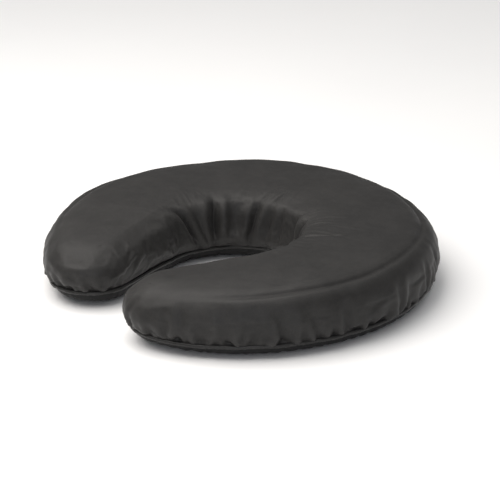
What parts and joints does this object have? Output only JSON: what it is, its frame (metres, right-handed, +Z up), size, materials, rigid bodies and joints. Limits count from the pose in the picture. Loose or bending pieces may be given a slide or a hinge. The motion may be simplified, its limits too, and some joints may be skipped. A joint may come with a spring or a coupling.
{
  "type": "face cradle cushion",
  "caption": "C-shaped padded face rest cushion for a massage table: domed coated-fabric cover over layered foam, piped lower seam, zip across the back, loop-pile strips underneath",
  "frame": {"origin": "under the middle of the cushion, on the plane it rests on (centre of the bounding box in plan)", "axes": "+Z up through the thickness, +Y towards the crown (closed side of the C), -Y towards the mouth between the arm tips, +X across to the right arm"},
  "size_m": [0.302, 0.2858, 0.055],
  "materials": {
    "cover_vinyl": "satin pebbled coated fabric",
    "base_vinyl": "matte coated fabric",
    "piping_vinyl": "satin coated fabric",
    "piping_cord": "foamed filler cord",
    "thread": "bonded polyester thread",
    "comfort_foam": "open-cell memory foam",
    "support_foam": "open-cell polyurethane foam",
    "loop_pile": "brushed loop pile",
    "zip_tape": "woven polyester tape",
    "zip_coil": "moulded monofilament",
    "zip_metal": "black enamelled die casting"
  },
  "bodies": {
    "cushion": {"top_cover": "cover_vinyl", "base_panel": "base_vinyl", "comfort_foam": "comfort_foam", "support_foam": "support_foam", "piping_sleeve": "piping_vinyl", "piping_cord": "piping_cord", "seam_thread": "thread", "loop_strip_left": "loop_pile", "loop_strip_right": "loop_pile", "loop_strip_crown": "loop_pile", "strip_stitching": "thread", "zip_tape_upper": "zip_tape", "zip_tape_lower": "zip_tape", "zip_coil_upper": "zip_coil", "zip_coil_lower": "zip_coil", "zip_stitching": "thread", "zip_stop_left": "zip_metal", "zip_stop_right": "zip_metal"},
    "zip_slider": {"zip_slider": "zip_metal"},
    "zip_pull": {"zip_pull_tab": "zip_metal"}
  },
  "joints": [
    {"name": "zip_travel", "type": "hinge", "parent": "cushion", "child": "zip_slider", "pos_m": [0, -0.0081, 0.0177], "axis": [0, 0, -1], "range_deg": [0, 55]},
    {"name": "pull_tab_flip", "type": "hinge", "parent": "zip_slider", "child": "zip_pull", "pos_m": [-0.07007, 0.12651, 0.01639], "axis": [-0.148, 0.2844, 0.9472], "range_deg": [0, 172]}
  ]
}
